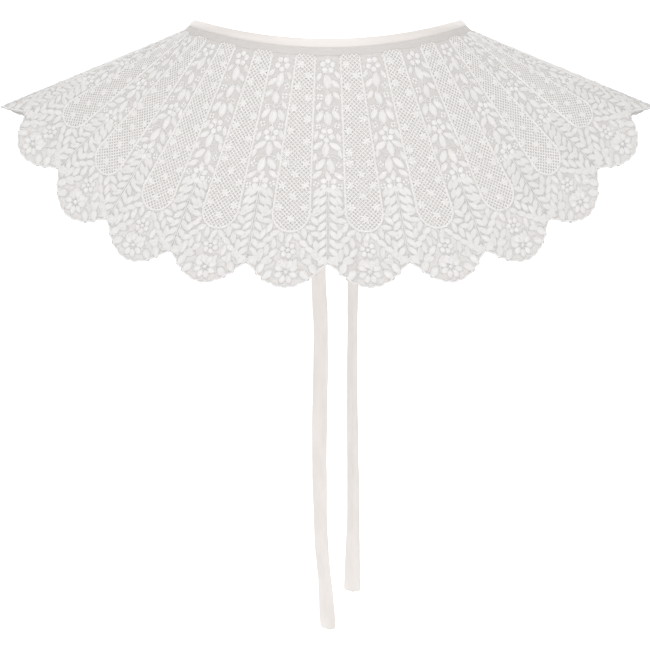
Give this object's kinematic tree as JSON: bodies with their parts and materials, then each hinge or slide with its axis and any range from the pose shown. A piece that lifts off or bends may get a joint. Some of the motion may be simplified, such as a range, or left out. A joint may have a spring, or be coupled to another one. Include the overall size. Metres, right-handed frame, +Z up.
{
  "type": "lace collar",
  "caption": "Open-backed lace collar with corded tongues in net, a scalloped embroidered hem, a satin neck binding and two ties.",
  "frame": {"origin": "centre of the neck opening, level with the top edge of the binding at the sides of the neck", "axes": "+Z up, +X towards the wearer's left, and the wearer faces -Y"},
  "size_m": [0.3906, 0.2161, 0.3928],
  "materials": {
    "lattice_lace": "open woven lattice of fine cotton thread, matte",
    "embroidered_border": "dense satin-stitch embroidery on net, matte with a soft thread sheen",
    "sheer_net": "fine see-through net with embroidered sprigs",
    "outline_cord": "raised couched cord, matte",
    "net_band": "sheer ribbed net, matte",
    "satin_binding": "satin, soft sheen",
    "tie_ribbon": "folded satin ribbon, soft sheen"
  },
  "bodies": {
    "front": {"tongue_10": "lattice_lace", "tongue_11": "lattice_lace", "scallop_10": "embroidered_border", "scallop_11": "embroidered_border", "net_front": "sheer_net", "outlines_front": "outline_cord", "net_band_front": "net_band", "binding_front": "satin_binding"},
    "right_side": {"tongue_01": "lattice_lace", "tongue_02": "lattice_lace", "tongue_03": "lattice_lace", "tongue_04": "lattice_lace", "tongue_05": "lattice_lace", "tongue_06": "lattice_lace", "tongue_07": "lattice_lace", "tongue_08": "lattice_lace", "tongue_09": "lattice_lace", "scallop_01": "embroidered_border", "scallop_02": "embroidered_border", "scallop_03": "embroidered_border", "scallop_04": "embroidered_border", "scallop_05": "embroidered_border", "scallop_06": "embroidered_border", "scallop_07": "embroidered_border", "scallop_08": "embroidered_border", "scallop_09": "embroidered_border", "net_right": "sheer_net", "outlines_right": "outline_cord", "net_band_right": "net_band", "binding_right": "satin_binding", "tie_tab_right": "tie_ribbon"},
    "left_side": {"tongue_12": "lattice_lace", "tongue_13": "lattice_lace", "tongue_14": "lattice_lace", "tongue_15": "lattice_lace", "tongue_16": "lattice_lace", "tongue_17": "lattice_lace", "tongue_18": "lattice_lace", "tongue_19": "lattice_lace", "tongue_20": "lattice_lace", "scallop_12": "embroidered_border", "scallop_13": "embroidered_border", "scallop_14": "embroidered_border", "scallop_15": "embroidered_border", "scallop_16": "embroidered_border", "scallop_17": "embroidered_border", "scallop_18": "embroidered_border", "scallop_19": "embroidered_border", "scallop_20": "embroidered_border", "net_left": "sheer_net", "outlines_left": "outline_cord", "net_band_left": "net_band", "binding_left": "satin_binding", "tie_tab_left": "tie_ribbon"},
    "right_tie_upper": {"tie_upper_right": "tie_ribbon"},
    "right_tie_lower": {"tie_lower_right": "tie_ribbon"},
    "left_tie_upper": {"tie_upper_left": "tie_ribbon"},
    "left_tie_lower": {"tie_lower_left": "tie_ribbon"}
  },
  "joints": [
    {"name": "right_side_open", "type": "hinge", "parent": "front", "child": "right_side", "pos_m": [-0.02423, -0.08635, -0.02063], "axis": [0.178, 0.1985, 0.9638], "range_deg": [0, 35]},
    {"name": "left_side_open", "type": "hinge", "parent": "front", "child": "left_side", "pos_m": [0.02423, -0.08635, -0.02063], "axis": [0.178, -0.1985, -0.9638], "range_deg": [0, 35]},
    {"name": "right_tie_lift", "type": "hinge", "parent": "right_side", "child": "right_tie_upper", "pos_m": [-0.0062, 0.0693, -0.016], "axis": [1, 0, 0], "range_deg": [0, 80]},
    {"name": "right_tie_swing", "type": "hinge", "parent": "right_tie_upper", "child": "right_tie_lower", "pos_m": [-0.0058, 0.0986, -0.137], "axis": [1, 0, 0], "range_deg": [-30, 80]},
    {"name": "left_tie_lift", "type": "hinge", "parent": "left_side", "child": "left_tie_upper", "pos_m": [0.0074, 0.0693, -0.016], "axis": [1, 0, 0], "range_deg": [0, 80]},
    {"name": "left_tie_swing", "type": "hinge", "parent": "left_tie_upper", "child": "left_tie_lower", "pos_m": [0.0156, 0.0986, -0.137], "axis": [1, 0, 0], "range_deg": [-30, 80]}
  ]
}
